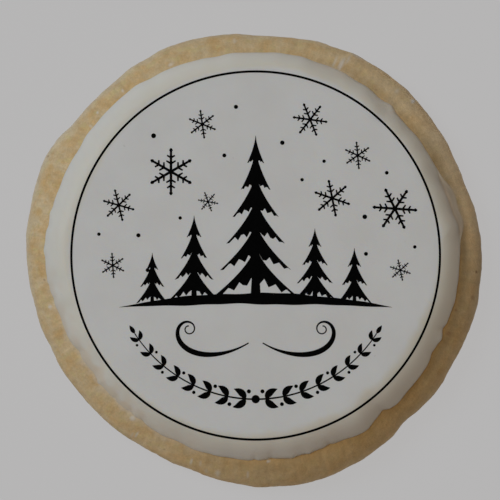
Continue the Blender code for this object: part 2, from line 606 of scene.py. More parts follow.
def marks_on_rim(angle, inset, edge, marks):
    """Strength at each point of oval marks, each given by its direction, place and size.

    The strength falls off as the fourth power in the exponent, so a mark is even with a soft rim.
    """
    strength = np.zeros(np.broadcast_shapes(angle.shape, inset.shape))
    for direction, place, half_length, half_width, weight in marks:
        sideways = np.radians(degrees_from(angle, direction)) * edge / (half_width * MM)
        along = (inset - place * MM) / (half_length * MM)
        strength = np.maximum(strength, weight * np.exp(-((sideways**2 + along**2) ** 2)))
    return strength


# Points round the two skins.
SKIN_SEGMENTS = 720

# Rings in each stretch of the dough's skin. The underside starts at a share of its own radius, and the
# part that the icing covers starts and ends at shares of the outline's.
UNDERSIDE_RINGS = 34
UNDERSIDE_START = 0.03
BASE_RINGS = 9
SHOULDER_RINGS = 48
COVERED_RINGS = 6
COVERED_START = 0.8
COVERED_END = 0.05

# Relief of the dough: lengths of its lumps, wrinkles, streaks and grain, the height of the wrinkles and
# streaks as a share of the lumps', the rise of a pale mark and the depth of the pits underneath.
LUMP_LENGTH = 8 * MM
WRINKLE_LENGTH = 2.6 * MM
WRINKLE_SHARE = 0.4
STREAK_LENGTH = 1.5 * MM
STREAK_SHARE = 0.35
GRAIN_LENGTH = 0.9 * MM
MARK_RISE = 0.06 * MM
TRAY_PIT = 0.10 * MM


def dough_rings(dough):
    """The dough's skin as rings: flat underneath, rounded at the base, a shoulder, then a level top."""
    angle = round_angles(SKIN_SEGMENTS)
    edge = cookie_edge(angle, dough)
    outward = np.linspace(UNDERSIDE_START, 1, UNDERSIDE_RINGS, endpoint=False)[:, None]
    flat = outward * (edge - dough.base_inset)
    turn = np.linspace(0, np.pi / 2, BASE_RINGS, endpoint=False)[:, None]
    base = edge - dough.base_inset * (1 - np.sin(turn))
    turn_up = np.linspace(0, np.pi / 2, SHOULDER_RINGS)[:, None]
    inset = dough.shoulder_inset * (1 - np.cos(turn_up))
    covered = np.linspace(COVERED_START, COVERED_END, COVERED_RINGS)[:, None] * edge
    radius = np.concatenate((flat, base, edge - inset, covered))
    level = np.concatenate(
        (
            np.zeros_like(flat),
            np.broadcast_to(dough.widest_level * (1 - np.cos(turn)), base.shape),
            np.broadcast_to(shoulder_level(inset, dough), (SHOULDER_RINGS, SKIN_SEGMENTS)),
            np.full_like(covered, DOUGH_LEVEL),
        )
    )
    return angle, edge, radius, level


def dough_relief(rings, angle, dough):
    """How far each point stands out: soft lumps, finer wrinkles, streaks down the side and grain."""
    lumps = soft_field(rings, LUMP_LENGTH, seed=1)
    wrinkles = soft_field(rings, WRINKLE_LENGTH, seed=2)
    grain = soft_field(rings, GRAIN_LENGTH, seed=3)
    side = np.stack((np.cos(angle), np.sin(angle), np.zeros_like(angle)), axis=-1) * dough.radius
    streaks = soft_field(side, STREAK_LENGTH, seed=4)
    coarse = dough.lump_height * (lumps + WRINKLE_SHARE * wrinkles + STREAK_SHARE * streaks)
    return coarse + dough.grain_height * grain


# Where the foot is so thin that dough and icing run together: direction and half-spread in degrees,
# strength.
FILM_STRETCHES = (
    (188, 4, 0.35),
    (200, 8, 0.6),
    (214, 7, 0.9),
    (229, 8, 1.0),
    (243, 6, 0.5),
    (252, 4, 0.4),
    (14, 8, 0.5),
    (47, 3, 0.4),
    (66, 5, 0.45),
)

# There, how far up the icing it is thin, and how ragged the inner side of that is. Outside, how far the
# film of icing reaches out on the dough and how strong it is, and its ragged rim: the length of the
# waves, their height, and the least and the most that the reach is multiplied by.
THIN_REACH = 1.3 * MM
THIN_RAGGED = 0.5
FILM_REACH = 0.55 * MM
FILM_SHARE = 0.32
FILM_LENGTH = 1.8 * MM
FILM_RAGGED = 0.6
FILM_NARROWEST = 0.3
FILM_WIDEST = 2


def film_strength(angle):
    """Strength of the run-together stretches in each direction, as a sum of bells."""
    return sum(weight * bell(angle, direction, spread) for direction, spread, weight in FILM_STRETCHES)


def film_on_dough(angle, bare, rings):
    """The film of icing outside its foot: strongest there, ragged, and gone within a millimetre."""
    waves = soft_field(rings, FILM_LENGTH, seed=6)
    ragged = np.clip(1 + FILM_RAGGED * waves, FILM_NARROWEST, FILM_WIDEST)
    strength = FILM_SHARE * np.clip(film_strength(angle), 0, 1)
    return strength * np.exp(-((bare / (FILM_REACH * ragged)) ** 2))


# The browned and shaded side, away from the key light, whose browned tint also paints its shade: its
# direction and half-spread in degrees, its strength, how far out from the icing it reaches and the share
# of it that is left beyond. Along the icing runs a line of painted shadow, the icing's own shadow, given
# in the same terms, with the share of it that is left on the far side.
BROWNED_SHADED_SIDE = 306
BROWNED_SHADED_SPREAD = 52
BROWNED_SHADED_SHARE = 0.85
BROWNED_SHADED_REACH = 3.2 * MM
BROWNED_SHADED_LEAST = 0.35
ICING_SHADOW_SIDE = 355
ICING_SHADOW_SPREAD = 70
ICING_SHADOW_SHARE = 0.45
ICING_SHADOW_WIDTH = 0.9 * MM
ICING_SHADOW_LEAST = 0.1

# Painted light and shade on the crust: lighter stretches paint light on the outer part of the rim,
# darker ones paint the shade beside the icing, and one paints a thin dark line at the outline.
# Direction and half-spread in degrees, distance in from the outline and half-reach in millimetres,
# change of its brightness as a share.
CRUST_LIGHT_AND_SHADE = (
    (30, 22, 0.6, 0.9, 0.12),
    (28, 25, 1.7, 1.2, 0.06),
    (8, 7, 2.0, 1.0, 0.13),
    (43, 9, 3.1, 0.9, 0.27),
    (348, 10, 2.6, 1.6, -0.13),
    (45, 18, 0.0, 0.18, -0.30),
    (62, 18, 0.2, 0.6, 0.12),
    (62, 15, 2.4, 0.7, 0.06),
    (210, 15, 0.5, 0.8, 0.06),
    (255, 32, 0.5, 0.9, 0.17),
    (240, 14, 1.2, 0.9, 0.06),
    (300, 15, 0.8, 1.2, 0.07),
    (358, 14, 0.2, 0.7, -0.26),
    (28, 30, 3.5, 1.2, -0.32),
    (3, 15, 3.4, 0.8, -0.26),
    (333, 16, 3.2, 0.9, -0.24),
    (272, 18, 3.4, 0.8, -0.10),
    (66, 22, 4.2, 0.8, -0.12),
    (105, 40, 3.2, 1.0, -0.05),
)

# Pale, floury stretches of the crust, which also paint light on the outer edge of the side towards the
# key light: direction and half-spread in degrees, distance in from the outline and half-reach in
# millimetres, strength.
FLOURY_AND_LIT_STRETCHES = ((148, 48, 0, 0.75, 1), (24, 27, 1.2, 1.9, 0.65))

# The side on which the crust is unevenly baked, the share of its patches that is evened out far from
# there and where it is browned and shaded, and the browning and shade from which on that share is full.
UNEVEN_SIDE = 150
UNEVEN_SPREAD = 75
EVENED_FAR = 0.5
EVENED_BROWNED_SHADED = 0.65
FULL_BROWNING_AND_SHADE = 0.6


def bare_distance(rings):
    """How far each point lies outside the icing's foot."""
    icing = bpy.context.scene.cookie_icing
    about_icing, distance = polar(rings[..., 0], rings[..., 1], icing.centre)
    return np.clip(distance - icing_foot(about_icing, icing), 0, None)


def browned_shaded_side(angle, bare):
    """How browned and shaded each point is: a bell round the side away from the key light, fading outwards,
    which paints its shade as browning, and a painted shadow line along the icing.
    """
    fade = BROWNED_SHADED_LEAST + (1 - BROWNED_SHADED_LEAST) * np.exp(-((bare / BROWNED_SHADED_REACH) ** 2))
    shadowed = ICING_SHADOW_LEAST + (1 - ICING_SHADOW_LEAST) * bell(angle, ICING_SHADOW_SIDE, ICING_SHADOW_SPREAD)
    line = shadowed * np.exp(-((bare / ICING_SHADOW_WIDTH) ** 2))
    side = BROWNED_SHADED_SHARE * bell(angle, BROWNED_SHADED_SIDE, BROWNED_SHADED_SPREAD) * fade
    return np.clip(side + ICING_SHADOW_SHARE * line, 0, 1)


def near_stretches(angle, inset, stretches):
    """Sum of bell-shaped stretches of the rim, each with its direction, place, reach and weight."""
    total = np.zeros(np.broadcast_shapes(angle.shape, inset.shape))
    for direction, spread, place, reach, weight in stretches:
        near = np.exp(-(((inset - place * MM) / (reach * MM)) ** 2))
        total = total + weight * bell(angle, direction, spread) * near
    return total


def evened_crust(angle, browned):
    """How far the crust's patches are evened out: more where it is browned and shaded, less on its uneven
    side.
    """
    far = EVENED_FAR * (1 - bell(angle, UNEVEN_SIDE, UNEVEN_SPREAD))
    return np.maximum(far, EVENED_BROWNED_SHADED * np.clip(browned / FULL_BROWNING_AND_SHADE, 0, 1))


def slope_way(rings):
    """Distance of each point along the skin from the middle of the underside, ring by ring."""
    steps = np.linalg.norm(np.diff(rings, axis=0), axis=-1)
    return np.concatenate((np.zeros_like(steps[:1]), np.cumsum(steps, axis=0)))


def bake_dough(dough):
    """The fine skin of the dough, which also carries the strengths of its marks and patches and its painted
    light and shade.
    """
    angle, edge, radius, level = dough_rings(dough)
    centre = cutting_centre(dough)
    rings = stack_rings(centre, radius, level, angle)
    inset = edge - radius
    upper = level > dough.widest_level
    bare = bare_distance(rings)
    film = film_on_dough(angle, bare, rings)
    pale = np.maximum(marks_on_rim(angle, inset, edge, PALE_MARKS), film) * upper
    relief = dough_relief(rings, angle, dough) + MARK_RISE * pale
    rings = rings + grid_normals(rings) * relief[..., None]
    pits = TRAY_PIT * np.clip(soft_field(rings, WRINKLE_LENGTH, seed=5), 0, None)
    rings[..., 2] = np.where(level > 0, np.maximum(rings[..., 2], 0), pits)
    skin = skin_object("dough_skin", rings, (*centre, 0), (*centre, DOUGH_LEVEL))
    browned = browned_shaded_side(angle, bare)
    keep_values(skin, "pale_mark", pale)
    keep_values(skin, "freckle", marks_on_rim(angle, inset, edge, FRECKLES) * upper)
    keep_values(skin, "golden_patch", marks_on_rim(angle, inset, edge, GOLDEN_PATCHES) * upper)
    # The browned attribute carries browning and painted shade: the shaded side and the painted shadow along
    # the icing.
    keep_values(skin, "browned", browned)
    keep_values(skin, "evened", evened_crust(angle, browned))
    # Floury crust and painted light on the outer edge towards the key light.
    keep_values(skin, "floury_and_lit", near_stretches(angle, inset, FLOURY_AND_LIT_STRETCHES) * upper)
    # The crust's painted light and shade: lighter on the outer rim, darker in the shade beside the icing.
    keep_values(skin, "crust_light_and_shade", 1 + near_stretches(angle, inset, CRUST_LIGHT_AND_SHADE), low=1, high=1)
    keep_values(skin, "slope_way", slope_way(rings) / MM)
    keep_values(skin, "underside", np.clip(1 - level / dough.widest_level, 0, 1), low=1)
    skin.data.materials.append(dough_material(dough))
    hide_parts("cookie")
    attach(skin, "root")


# How far a ledge's thinness runs on past its inner side.
LEDGE_BLEND = 0.4 * MM


def thin_edge(angle, inset, rings):
    """How thin the icing is: 1 on a ledge and at the foot of a thin stretch, fading raggedly inwards."""
    ragged = 1 + THIN_RAGGED * soft_field(rings, WRINKLE_LENGTH, seed=11)
    thin = film_strength(angle) * np.exp(-((inset / (THIN_REACH * ragged)) ** 2))
    ledge = icing_ledge(angle)
    on_ledge = np.clip(ledge / FULL_LEDGE, 0, 1) * np.clip(1 - (inset - ledge) / LEDGE_BLEND, 0, 1)
    return np.clip(np.maximum(thin, on_ledge), 0, 1)


# Towards the light side, a direction and half-spread in degrees, the roll's cream tint starts farther
# in and fades again towards the foot, and the taupe of the foot, which is also painted shade, is weaker.
# Towards the dim side that painted shade starts earlier and is stronger. Starts and lengths are shares
# of the roll's width.
LIGHT_SIDE = 155
LIGHT_SPREAD = 60
DIM_SIDE = 292
DIM_SPREAD = 38
CREAM_START = 0
CREAM_EARLIER = 0.22
CREAM_LENGTH = 0.30
CREAM_FADE = 0.4
TAUPE_SHADE_START = 0.35
TAUPE_SHADE_EARLIER = 0.25
TAUPE_SHADE_LENGTH = 0.6
TAUPE_SHADE_LACK = 0.85
TAUPE_SHADE_SHARE = 0.6


def roll_tints(angle, down):
    """Cream tint, and taupe with painted shade, at a share of the way down the roll, which is below 0 on the
    flat top.
    """
    light = bell(angle, LIGHT_SIDE, LIGHT_SPREAD)
    dim = bell(angle, DIM_SIDE, DIM_SPREAD)
    cream_start = CREAM_START - CREAM_EARLIER * light
    cream = np.clip((down - cream_start) / CREAM_LENGTH, 0, 1)
    cream = cream**2 * (3 - 2 * cream) * (1 - CREAM_FADE * light * np.clip(down, 0, 1))
    taupe_start = TAUPE_SHADE_START - TAUPE_SHADE_EARLIER * dim
    taupe_and_shade = np.clip((down - taupe_start) / TAUPE_SHADE_LENGTH, 0, 1)
    taupe_and_shade = taupe_and_shade * (1 - TAUPE_SHADE_LACK * light) * (TAUPE_SHADE_SHARE + (1 - TAUPE_SHADE_SHARE) * dim)
    return cream, taupe_and_shade


# Painted light and shade on the icing near its foot: painted shade on the ledges in the shadow of the
# roll and on the dim side, painted light on the side towards the key light and over a shaded groove.
# Direction and half-spread in degrees, distance in from its edge and half-reach in millimetres, change
# of brightness.
ICING_LIGHT_AND_SHADE = (
    (9.5, 4.5, 0.7, 0.65, -0.34),
    (18, 5.5, 0.7, 0.65, -0.38),
    (105, 35, 0.3, 1.8, 0.10),
    (215, 26, 1.7, 1.6, 0.07),
    (300, 22, 0.0, 1.4, -0.06),
)


# Rings in each stretch of the icing's skin. The underside starts and the flat top ends at a share of
# the radius, and the roll's rings are closest at its foot, by a power.
UNDER_RINGS = 4
UNDER_START = 0.2
ROLL_RINGS = 34
ROLL_SPACING = 2
TOP_RINGS = 32
TOP_END = 0.02


def pour_icing(icing, dough):
    """The icing's skin: its underside lies in the dough, its upper side rolls up to the flat top."""
    angle = round_angles(SKIN_SEGMENTS)
    edge = icing_foot(angle, icing)
    under = np.linspace(UNDER_START, 1, UNDER_RINGS)[:, None] * edge
    width = roll_width(angle, icing)
    ledge = icing_ledge(angle)
    roll = edge - (width + ledge) * np.linspace(0, 1, ROLL_RINGS)[:, None] ** ROLL_SPACING
    top = np.linspace(1, TOP_END, TOP_RINGS)[1:, None] * (edge - width - ledge)
    radius = np.concatenate((under, roll, top))
    rings = stack_rings(icing.centre, radius, 0, angle)
    x = rings[..., 0]
    y = rings[..., 1]
    rings[..., 2] = icing_surface(x, y, icing, dough)
    low = slice(0, UNDER_RINGS)
    rings[low, :, 2] = dough_surface(x[low], y[low], dough) - icing.sink
    centre = np.array(icing.centre)
    low_pole = (*centre, DOUGH_LEVEL - icing.sink)
    high_pole = (*centre, *icing_surface(centre[:1], centre[1:], icing, dough))
    skin = skin_object("icing_skin", rings, low_pole, high_pole)
    inset = edge - radius
    cream, taupe_and_shade = roll_tints(angle, 1 - (inset - ledge) / width)
    keep_values(skin, "cream", cream)
    # Taupe and painted shade at the foot: weaker on the light side, stronger on the dim side.
    keep_values(skin, "taupe_and_shade", taupe_and_shade)
    keep_values(skin, "thin_edge", thin_edge(angle, inset, rings))
    # Painted light and shade on the icing near its foot.
    keep_values(skin, "icing_light_and_shade", 1 + near_stretches(angle, inset, ICING_LIGHT_AND_SHADE), low=1, high=1)
    skin.data.materials.append(icing_material(icing))
    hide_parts("icing")
    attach(skin, "root")


# Points across a stroke, and its least half width in millimetres, which keeps its ends from closing up.
STROKE_COLUMNS = 5
FINEST_WIDTH = 0.015


def stroke(path, half_width, looped=False):
    """A flat band along a path: rows of points square to the path, a half width to either side."""
    if looped:
        ahead = np.roll(path, -1, axis=0) - np.roll(path, 1, axis=0)
    else:
        ahead = np.gradient(path, axis=0)
    ahead = ahead / np.linalg.norm(ahead, axis=1, keepdims=True)
    side = np.stack((-ahead[:, 1], ahead[:, 0]), axis=-1)
    across = np.linspace(-1, 1, STROKE_COLUMNS)
    width = np.maximum(half_width, FINEST_WIDTH)
    return path[:, None] + (across[None, :] * width[:, None])[..., None] * side[:, None]


def placed(strokes, spot=(0, 0), turn=0, size=1):
    """The same strokes made larger, turned by an angle in degrees and moved to a spot."""
    angle = math.radians(turn)
    spin = np.array(((math.cos(angle), math.sin(angle)), (-math.sin(angle), math.cos(angle))))
    return [points @ spin * size + spot for points in strokes]


def dot(radius, rows=12):
    """A round dot: a band whose half width is that of a circle at each step across it."""
    turn = np.linspace(0, np.pi, rows)
    path = np.stack((-radius * np.cos(turn), np.zeros(rows)), axis=-1)
    return stroke(path, radius * np.sin(turn))


def bar(start, end, half_width, taper, rows=5):
    """A straight stroke whose width changes evenly to a share of it at its far end."""
    along = np.linspace(0, 1, rows)
    path = np.outer(1 - along, start) + np.outer(along, end)
    return stroke(path, half_width * (1 + (taper - 1) * along))


# A flake, as shares of its size: the length and half width of an arm, the places and lengths of its pairs
# of twigs, their half width, the diamond at its tip and the dot in the flake's middle. An arm and a twig
# taper to a share of their width, and turns are in degrees.
ARM_TURNS = tuple(range(0, 360, 60))
ARM_LENGTH = 0.5
ARM_HALF_WIDTH = 0.030
ARM_TAPER = 0.8
TWIG_PAIRS = ((0.18, 0.12), (0.31, 0.10))
TWIG_TURN = 60
TWIG_HALF_WIDTH = 0.024
TWIG_TAPER = 0.7
DIAMOND_START = 0.43
DIAMOND_LENGTH = 0.09
DIAMOND_HALF_WIDTH = 0.042
DIAMOND_ROWS = 5
HUB_RADIUS = 0.06
HUB_ROWS = 7


def snowflake():
    """A six-armed flake one unit across: on each arm two pairs of twigs and a small diamond tip."""
    arm = [bar((0, 0), (0, ARM_LENGTH), ARM_HALF_WIDTH, ARM_TAPER)]
    for foot, reach in TWIG_PAIRS:
        twig = bar((0, 0), (0, reach), TWIG_HALF_WIDTH, TWIG_TAPER)
        for turn in (-TWIG_TURN, TWIG_TURN):
            arm += placed([twig], (0, foot), turn)
    along = np.linspace(0, 1, DIAMOND_ROWS)
    tip = np.stack((np.zeros(DIAMOND_ROWS), DIAMOND_START + DIAMOND_LENGTH * along), axis=-1)
    arm.append(stroke(tip, DIAMOND_HALF_WIDTH * np.sin(np.pi * along)))
    flake = [dot(HUB_RADIUS, HUB_ROWS)]
    for turn in ARM_TURNS:
        flake += placed(arm, turn=turn)
    return flake


# A fir's tier: its points, how far it reaches up under the one above as a share of the step between
# them, the power by which the tiers widen downwards and how much that varies, its width at its top as a
# share of its widest, the power by which it flares, and the droop of its lower edge as a share of its
# widest, with its power. Its tips: their count to either side, their depth as a share of its widest, and
# the power by which they fade at its ends.
TIER_ROWS = 9
TIER_COLUMNS = 21
TIER_OVERLAP = 0.45
TIER_WIDENING = 0.9
TIER_VARIATION = 0.05
TIER_TOP = 0.02
TIER_FLARE = 1.5
TIER_DROOP = 0.36
DROOP_POWER = 1.6
TIP_COUNT = 3.5
TIP_DEPTH = 0.10
TIP_FADE = 6

# A fir's trunk: its share of the height, how far up it starts in such shares, how far below the foot
# it ends in millimetres, its half width as a share of the fir's, and how much wider it is at its end.
TRUNK_SHARE = 0.1
TRUNK_START = 1.4
TRUNK_DEPTH = 0.3
TRUNK_HALF_WIDTH = 0.09
TRUNK_FLARE = 1.4


def fir_tree(foot, height, half_width, tiers, seed):
    """A fir in outline: overlapping tiers, each flaring to a drooping lower edge of ragged tips.

    In each tier the half width grows as a power of the way down. Its lower edge droops with the
    distance from the trunk, and a cosine round that edge cuts it into tips.
    """
    draw = np.random.default_rng(seed)
    down = np.linspace(0, 1, TIER_ROWS)[:, None]
    across = np.linspace(-1, 1, TIER_COLUMNS)
    step = height * (1 - TRUNK_SHARE) / tiers
    strokes = []
    for tier in range(tiers):
        overlap = TIER_OVERLAP * (tier > 0)
        variation = draw.uniform(1 - TIER_VARIATION, 1 + TIER_VARIATION)
        widest = half_width * ((tier + 1) / tiers) ** TIER_WIDENING * variation
        width = widest * (TIER_TOP + (1 - TIER_TOP) * down**TIER_FLARE)
        top = foot + height - step * (tier - overlap)
        depth = step * (1 + overlap)
        tips = TIP_DEPTH * widest * np.cos(2 * np.pi * TIP_COUNT * across + draw.uniform(-1, 1))
        droop = TIER_DROOP * widest * np.abs(across) ** DROOP_POWER
        lower = droop + tips * down * (1 - np.abs(across) ** TIP_FADE)
        y = top - depth * down - lower * down
        strokes.append(np.stack((across * width, y), axis=-1))
    start = (0, foot + TRUNK_SHARE * height * TRUNK_START)
    end = (0, foot - TRUNK_DEPTH)
    strokes.append(bar(start, end, TRUNK_HALF_WIDTH * half_width, TRUNK_FLARE))
    return strokes


# The mound in millimetres: half its length, the level of its ends, the rise of its arch and half its
# depth, which runs out by a power. Waves make the depth uneven: their rate, share of it and phase.
MOUND_HALF_LENGTH = 23.5
MOUND_LEVEL = -9.0
MOUND_ARCH = 1.5
MOUND_DEPTH = 0.95
MOUND_FULLNESS = 2.2
MOUND_WAVES = ((9, 0.10, 0), (23, 0.06, 1))
MOUND_ROWS = 60


def snow_mound():
    """The ground under the firs: a long low arch, pointed at both ends, its depth slightly uneven."""
    along = np.linspace(-1, 1, MOUND_ROWS)
    path = np.stack((MOUND_HALF_LENGTH * along, MOUND_LEVEL + MOUND_ARCH * (1 - along**2)), axis=-1)
    uneven = 1 + sum(height * np.sin(rate * along + phase) for rate, height, phase in MOUND_WAVES)
    return stroke(path, MOUND_DEPTH * (1 - np.abs(along) ** MOUND_FULLNESS) * uneven)


# The scroll: its points, its start and length in millimetres, its first heading in degrees, how far it
# turns evenly and how far ever faster, by a power. Its half width in millimetres is multiplied by a
# least share plus a power of a sine, which ends a little before the scroll does.
SCROLL_ROWS = 90
SCROLL_START = (1.0, -15.0)
SCROLL_LENGTH = 23.0
SCROLL_HEADING = -32
SCROLL_LIFT = 92
SCROLL_WIND = 470
SCROLL_TIGHTENING = 4.5
SCROLL_HALF_WIDTH = 0.36
SCROLL_LEAST = 0.3
SCROLL_SWELL = 1.6
SCROLL_PACE = 1.15


def scroll():
    """A pen scroll: it leaves the middle sideways, swings up and winds into a spiral, ever tighter."""
    along = np.linspace(0, 1, SCROLL_ROWS)
    heading = np.radians(SCROLL_HEADING + SCROLL_LIFT * along + SCROLL_WIND * along**SCROLL_TIGHTENING)
    step = SCROLL_LENGTH / SCROLL_ROWS
    ahead = np.stack((np.cos(heading), np.sin(heading)), axis=-1)
    path = np.array(SCROLL_START) + np.cumsum(ahead, axis=0) * step
    swell = SCROLL_LEAST + np.sin(np.pi * np.clip(along * SCROLL_PACE, 0, 1)) ** SCROLL_SWELL
    return stroke(path, SCROLL_HALF_WIDTH * swell)


def mirrored(strokes):
    """The strokes seen in a mirror, with their columns turned round so that they still face up."""
    return [points[:, ::-1] * (-1, 1) for points in strokes]


# The garland's stem: its radius in millimetres, the direction of its middle and its reach to either
# side in degrees, its points, its half width and the share of it that is lost towards the end.
GARLAND_RADIUS = 24.8
GARLAND_MIDDLE = 270
GARLAND_REACH = 57
GARLAND_ROWS = 40
GARLAND_STEM = 0.15
GARLAND_TAPER = 0.4

# Its leaves: the number of pairs to either side, the first pair's place in steps between pairs, length,
# half width and bow in millimetres, lean away from the stem in degrees, points, the powers that shape
# a leaf's half width, and the size of the single leaf at the end.
LEAF_PAIRS = 8
LEAF_START = 0.55
LEAF_LENGTH = 2.75
LEAF_HALF_WIDTH = 0.62
LEAF_BOW = 0.35
LEAF_LEAN = 36
LEAF_ROWS = 9
LEAF_BULGE = 0.8
LEAF_FULLNESS = 0.9
END_LEAF_SIZE = 0.6

# Its berries: radius and distance from the stem in millimetres, how far each lies behind its leaves in
# steps between pairs, and the size of the one in the middle.
BERRY_RADIUS = 0.36
BERRY_STEP = 1.35
BERRY_BEHIND = 0.15
MIDDLE_BERRY_SIZE = 2


def leaf(bow):
    """A pointed leaf that lies along +X and bows to one side: its half width swells and runs out."""
    along = np.linspace(0, 1, LEAF_ROWS)
    path = np.stack((LEAF_LENGTH * along, bow * np.sin(np.pi * along)), axis=-1)
    return stroke(path, LEAF_HALF_WIDTH * np.sin(np.pi * along**LEAF_BULGE) ** LEAF_FULLNESS)


def garland_spot(turn, outward=0):
    """A point beside the garland's stem, at a turn in degrees from its middle."""
    place = math.radians(GARLAND_MIDDLE + turn)
    return (GARLAND_RADIUS + outward) * np.array((math.cos(place), math.sin(place)))


def garland_half():
    """Half of the garland: a tapered stem on an arc, pairs of leaves that shrink and berries between."""
    turns = np.linspace(0, GARLAND_REACH, GARLAND_ROWS)
    stem = np.stack([garland_spot(turn) for turn in turns])
    strokes = [stroke(stem, GARLAND_STEM * (1 - GARLAND_TAPER * turns / GARLAND_REACH))]
    step = GARLAND_REACH / LEAF_PAIRS
    for index in range(LEAF_PAIRS):
        turn = step * (index + LEAF_START)
        size = 1 - GARLAND_TAPER * turn / GARLAND_REACH
        forward = GARLAND_MIDDLE + turn + 90
        for side in (1, -1):
            strokes += placed([leaf(side * LEAF_BOW)], garland_spot(turn), forward + side * LEAF_LEAN, size)
        outward = BERRY_STEP if index % 2 else -BERRY_STEP
        berry = garland_spot(turn - BERRY_BEHIND * step, outward * size)
        strokes += placed([dot(BERRY_RADIUS * size)], berry)
    forward = GARLAND_MIDDLE + GARLAND_REACH + 90
    strokes += placed([leaf(0)], garland_spot(GARLAND_REACH), forward, END_LEAF_SIZE)
    return strokes


def garland():
    """Both halves of the garland and the bigger berry where they meet."""
    half = garland_half()
    return half + mirrored(half) + placed([dot(BERRY_RADIUS * MIDDLE_BERRY_SIZE)], garland_spot(0))


# Each stroke's top lies a little higher than the one before it, in millimetres, so that no two tops
# that meet coincide. The steps start again after a count of strokes.
STACK_STEP = 0.0004
STACK_COUNT = 12

# Edges of the slabs that turn by more than this many degrees are shaded sharp.
SHARP_ANGLE = 30


def slab_faces(rows, columns, looped):
    """Faces of a thin slab over a grid of points: its top, its underside and the wall round them."""
    grid = np.arange(rows * columns).reshape(rows, columns)
    if looped:
        grid = np.concatenate((grid, grid[:1]))
    corners = (grid[:-1, :-1], grid[1:, :-1], grid[1:, 1:], grid[:-1, 1:])
    top = np.stack(corners, axis=-1).reshape(-1, 4)
    below = rows * columns
    underside = top[:, ::-1] + below
    if looped:
        right = grid[:, 0]
        left = grid[::-1, -1]
        here = np.concatenate((right[:-1], left[:-1]))
        onward = np.concatenate((right[1:], left[1:]))
    else:
        here = np.concatenate((grid[:-1, 0], grid[-1, :-1], grid[:0:-1, -1], grid[0, :0:-1]))
        onward = np.roll(here, -1)
    wall = np.stack((here + below, onward + below, onward, here), axis=-1)
    return np.concatenate((top, underside, wall))


def print_strokes(name, strokes, looped=False):
    """Lays flat strokes on the icing as thin closed slabs of ink, most of their thickness soaked in."""
    settings = bpy.context.scene.cookie_print
    icing = bpy.context.scene.cookie_icing
    dough = bpy.context.scene.cookie_dough
    points = []
    faces = []
    used = 0
    for index, grid in enumerate(strokes):
        rows, columns = grid.shape[:2]
        flat = grid.reshape(-1, 2) * MM + np.array(settings.centre)
        level = icing_surface(flat[:, 0], flat[:, 1], icing, dough)
        top = level + settings.lift + STACK_STEP * MM * (index % STACK_COUNT)
        points.append(np.column_stack((flat, top)))
        points.append(np.column_stack((flat, top - settings.depth)))
        faces.append(slab_faces(rows, columns, looped) + used)
        used += 2 * rows * columns
    ink = mesh_object(name, np.concatenate(points), np.concatenate(faces).tolist())
    ink.data.set_sharp_from_angle(angle=math.radians(SHARP_ANGLE))
    ink.data.materials.append(ink_material(settings))
    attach(ink, "root")


# How far apart the nodes lie in the editor, and how many of them lie left of its middle.
NODE_STEP = 180
NODE_COLUMNS = 30


def fill_sockets(material, node, sockets):
    """Fills a node's sockets, given by name or by place, with numbers, colours or links."""
    for name, value in dict(sockets).items():
        if isinstance(value, bpy.types.NodeSocket):
            material.node_tree.links.new(value, node.inputs[name])
        else:
            node.inputs[name].default_value = value


def add_node(material, kind, sockets=(), **properties):
    """Adds a shader node, sets its properties and fills its sockets."""
    nodes = material.node_tree.nodes
    node = nodes.new("ShaderNode" + kind)
    node.location = (NODE_STEP * (len(nodes) - NODE_COLUMNS), 0)
    for name, value in properties.items():
        setattr(node, name, value)
    fill_sockets(material, node, sockets)
    return node


def new_finish(name):
    """A node material with its Principled surface, and the place on the piece that patterns read."""
    material = bpy.data.materials.new(name)
    material.use_nodes = True
    surface = material.node_tree.nodes["Principled BSDF"]
    place = add_node(material, "TexCoord").outputs["Object"]
    return material, surface, place


# The values of the noise between which a pattern grows from nothing to full strength: softly, more
# firmly, for the golden patches, and for specks that are few.
SOFT_RANGE = (0.3, 0.7)
FIRM_RANGE = (0.35, 0.65)
PATCH_RANGE = (0.38, 0.65)
SPECK_RANGE = (0.78, 0.82)


def noise(material, place, size, detail=3.0, roughness=0.55, offset=(0, 0, 0)):
    """Cloudy noise whose patches are about the given size in millimetres."""
    moved = add_node(material, "Mapping", {"Vector": place, "Location": offset}).outputs["Vector"]
    sockets = {"Vector": moved, "Scale": 1 / (size * MM), "Detail": detail, "Roughness": roughness}
    return add_node(material, "TexNoise", sockets).outputs["Fac"]


def stretched(material, value, low, high, to_low=0.0, to_high=1.0):
    """A value stretched so that low and high become the given ends, held inside them."""
    sockets = {"Value": value, "From Min": low, "From Max": high, "To Min": to_low, "To Max": to_high}
    return add_node(material, "MapRange", sockets, clamp=True).outputs["Result"]


# Places of the Mix node's colour sockets, whose names other sockets of it have too.
MIX_AMOUNT = 0
MIX_FIRST = 6
MIX_SECOND = 7
MIX_RESULT = 2


def blend_colour(material, amount, first, second, mode="MIX"):
    """Two colours mixed by an amount. Each is a link or red, green and blue."""
    sockets = {MIX_AMOUNT: amount}
    for socket, colour in ((MIX_FIRST, first), (MIX_SECOND, second)):
        sockets[socket] = colour if isinstance(colour, bpy.types.NodeSocket) else (*colour, 1)
    return add_node(material, "Mix", sockets, data_type="RGBA", blend_type=mode).outputs[MIX_RESULT]


def shaded(material, colour, shade):
    """A colour made lighter or darker by a number."""
    grey = add_node(material, "CombineColor", {"Red": shade, "Green": shade, "Blue": shade})
    return blend_colour(material, 1.0, colour, grey.outputs["Color"], mode="MULTIPLY")


def stored(material, name):
    """A number that the piece's own points carry."""
    return add_node(material, "Attribute", attribute_name=name).outputs["Fac"]


